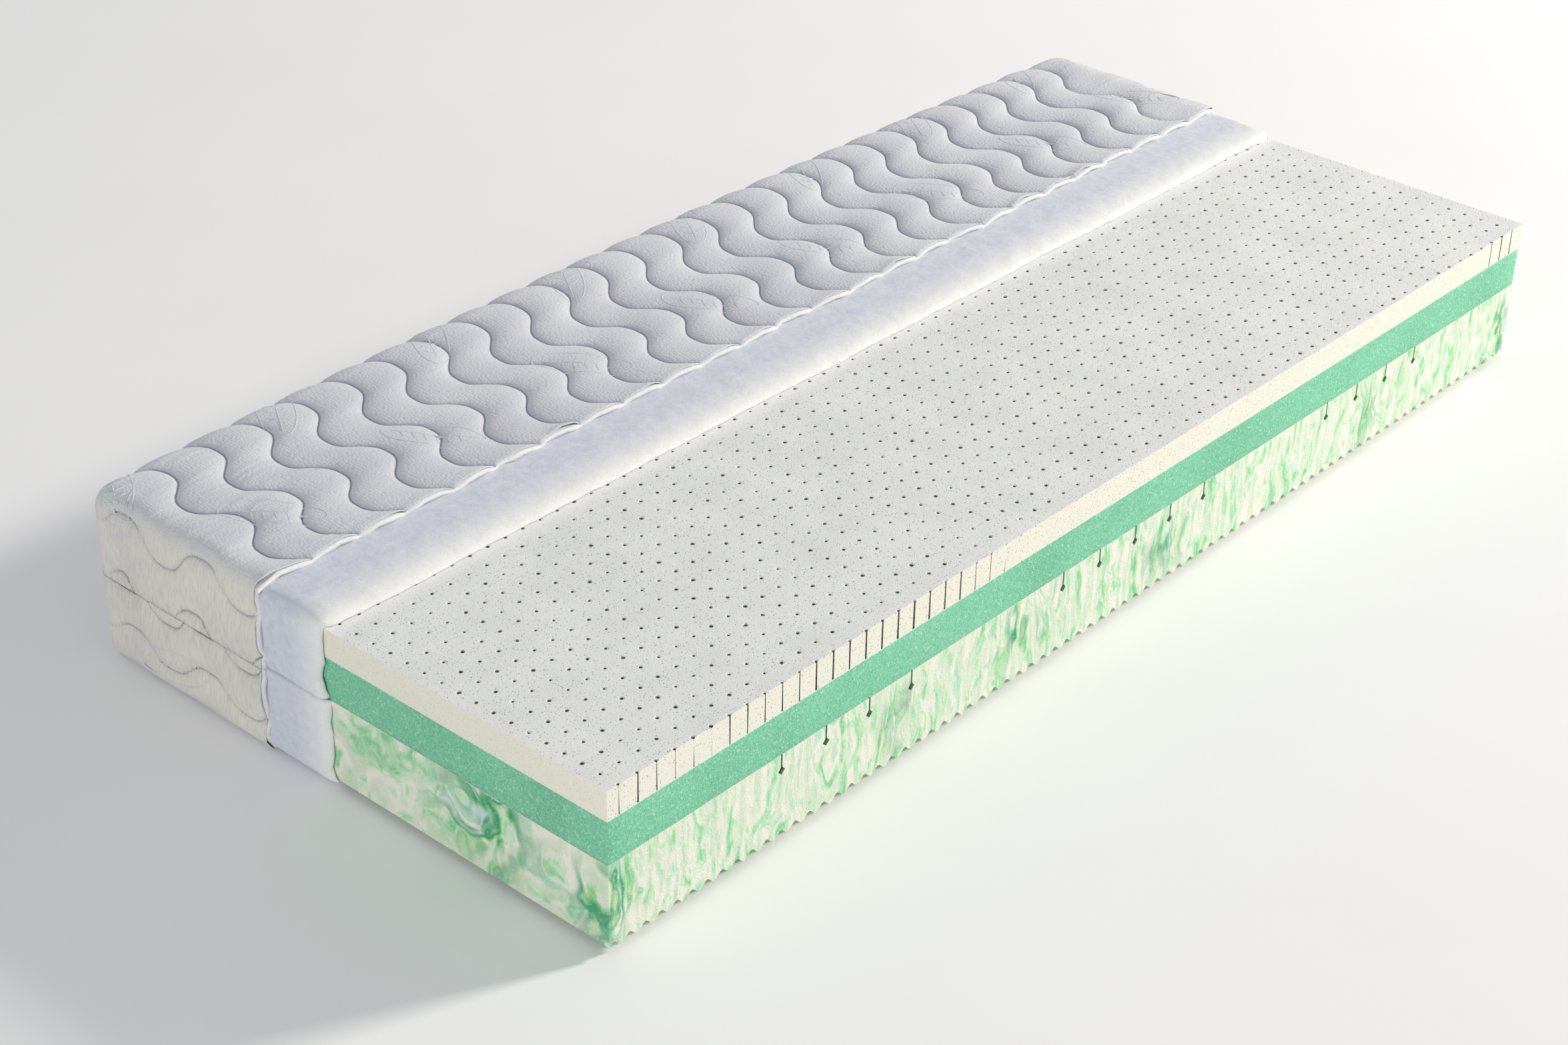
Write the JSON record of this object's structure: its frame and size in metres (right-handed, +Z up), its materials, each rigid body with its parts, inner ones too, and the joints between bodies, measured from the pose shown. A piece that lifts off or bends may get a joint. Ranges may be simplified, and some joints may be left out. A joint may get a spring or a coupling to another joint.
{
  "type": "memory foam mattress",
  "caption": "Layered foam mattress core in a zip-off quilted cover, cut back over the front half to bare the pierced top foam, the support foam and the ribbed base.",
  "frame": {"origin": "on the floor, under the middle of the whole mattress's outline", "axes": "+X along the length, +Y from the bare front face towards the covered back, +Z up"},
  "size_m": [2.0326, 0.9198, 0.2522],
  "materials": {
    "comfort_foam": "open-cell viscoelastic foam, off-white with fine speckles",
    "support_foam": "open-cell gel foam, mint green",
    "base_foam": "open-cell foam, cream marbled with green",
    "bond_film": "dried water-based adhesive film",
    "upper_ticking": "quilted double-knit ticking, cool off-white",
    "lower_ticking": "quilted double-knit ticking, warm off-white",
    "quilt_fill": "white polyester quilting fill",
    "fleece": "needled polyester fleece, bluish white",
    "quilting_thread": "polyester quilting thread",
    "zip_tape": "woven polyester zip tape",
    "zip_coil": "moulded polyester zip coil",
    "zip_metal": "white enamelled die-cast zinc"
  },
  "bodies": {
    "lower_cover": {"lower_ticking": "lower_ticking", "lower_quilt_fill": "quilt_fill", "lower_wadding": "fleece", "lower_quilting_thread": "quilting_thread", "lower_zip_tape": "zip_tape", "lower_zip_coil": "zip_coil", "lower_zip_stop": "zip_metal"},
    "core": {"comfort_layer": "comfort_foam", "comfort_bond": "bond_film", "support_layer": "support_foam", "base_bond": "bond_film", "base_layer": "base_foam"},
    "upper_cover": {"upper_ticking": "upper_ticking", "upper_quilt_fill": "quilt_fill", "upper_wadding": "fleece", "upper_quilting_thread": "quilting_thread", "upper_zip_tape": "zip_tape", "upper_zip_coil": "zip_coil", "upper_zip_stop": "zip_metal"},
    "zip_slider": {"zip_slider": "zip_metal"},
    "zip_pull": {"zip_pull": "zip_metal"}
  },
  "joints": [
    {"name": "core_lift", "type": "slide", "parent": "lower_cover", "child": "core", "axis": [0, 0, 1], "range_m": [0, 0.15]},
    {"name": "upper_cover_lift", "type": "slide", "parent": "core", "child": "upper_cover", "axis": [0, 0, 1], "range_m": [0, 0.15]},
    {"name": "zip_run", "type": "slide", "parent": "lower_cover", "child": "zip_slider", "axis": [1, 0, 0], "range_m": [0, 1.76]},
    {"name": "pull_swing", "type": "hinge", "parent": "zip_slider", "child": "zip_pull", "pos_m": [-0.88, 0.45835, 0.13], "axis": [0, 0, 1], "range_deg": [0, 180]}
  ]
}
